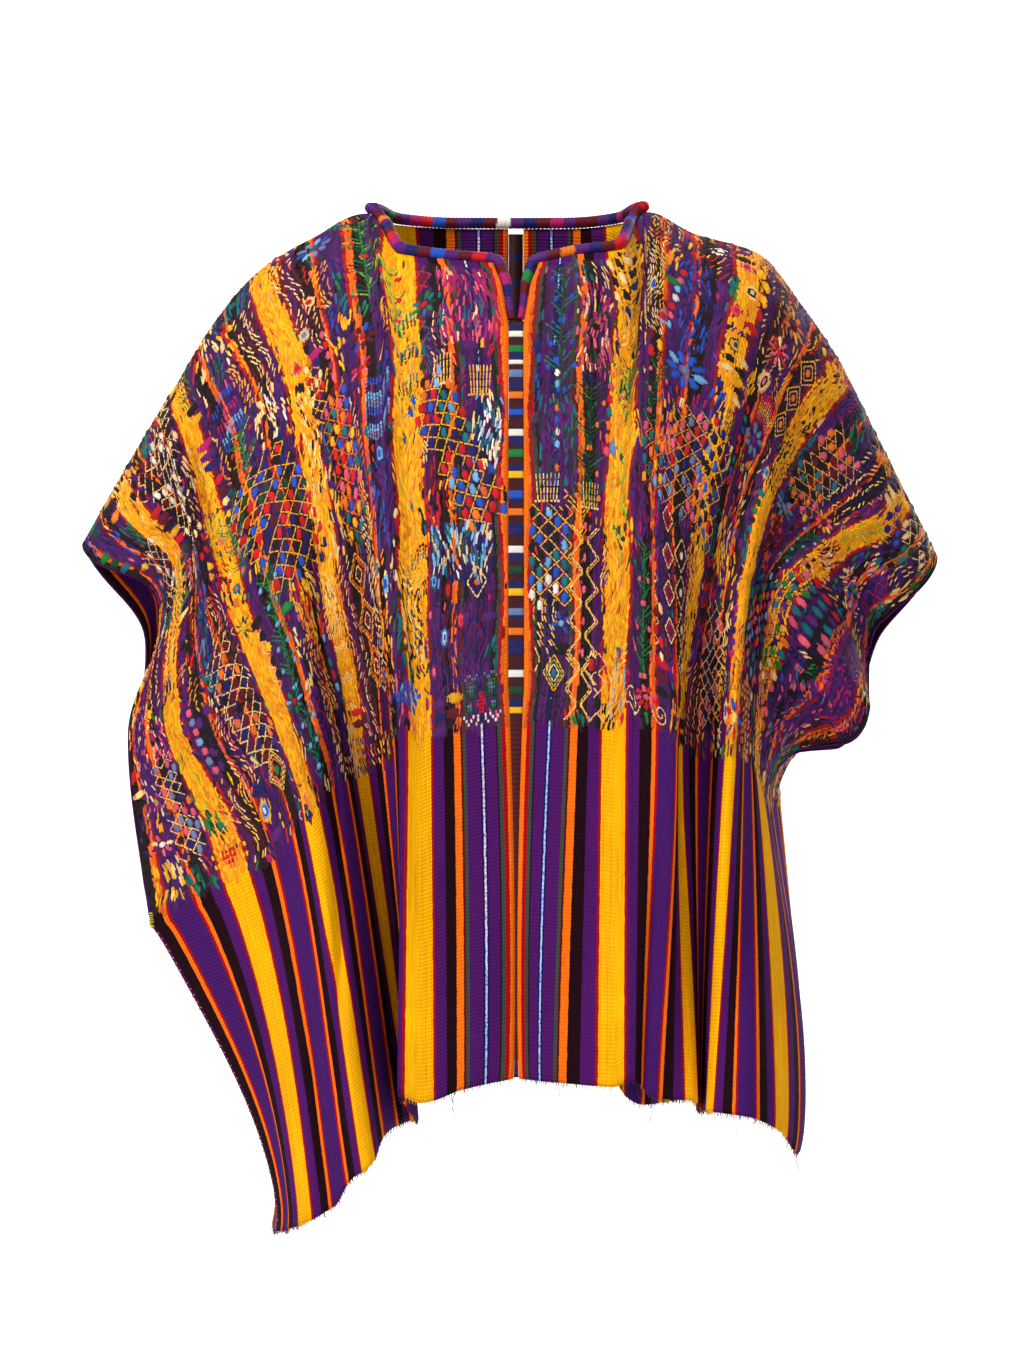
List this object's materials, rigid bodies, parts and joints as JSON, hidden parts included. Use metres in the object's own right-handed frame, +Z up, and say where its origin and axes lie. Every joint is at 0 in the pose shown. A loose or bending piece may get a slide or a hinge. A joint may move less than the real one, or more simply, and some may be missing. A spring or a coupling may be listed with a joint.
{
  "type": "huipil blouse",
  "caption": "Loose huipil blouse of two folded striped panels joined by a barred seam, worn open form with bound slit neck, armholes and raw hem.",
  "frame": {"origin": "middle of the neck opening at the height of the shoulder folds, where the wearer's shoulders hold the blouse", "axes": "+Z up, -Y towards the front, +X towards the wearer's left"},
  "size_m": [0.6246, 0.2823, 0.752],
  "materials": {
    "panel_right_cloth": "striped and brocaded heavy cotton",
    "panel_left_cloth": "striped and brocaded heavy cotton",
    "randa_thread": "satin stitched cotton thread",
    "binding_thread": "wrapped cotton thread"
  },
  "bodies": {
    "root": {"panel_right": "panel_right_cloth", "panel_left": "panel_left_cloth", "randa_front": "randa_thread", "randa_back": "randa_thread", "neck_binding": "binding_thread"}
  },
  "joints": []
}
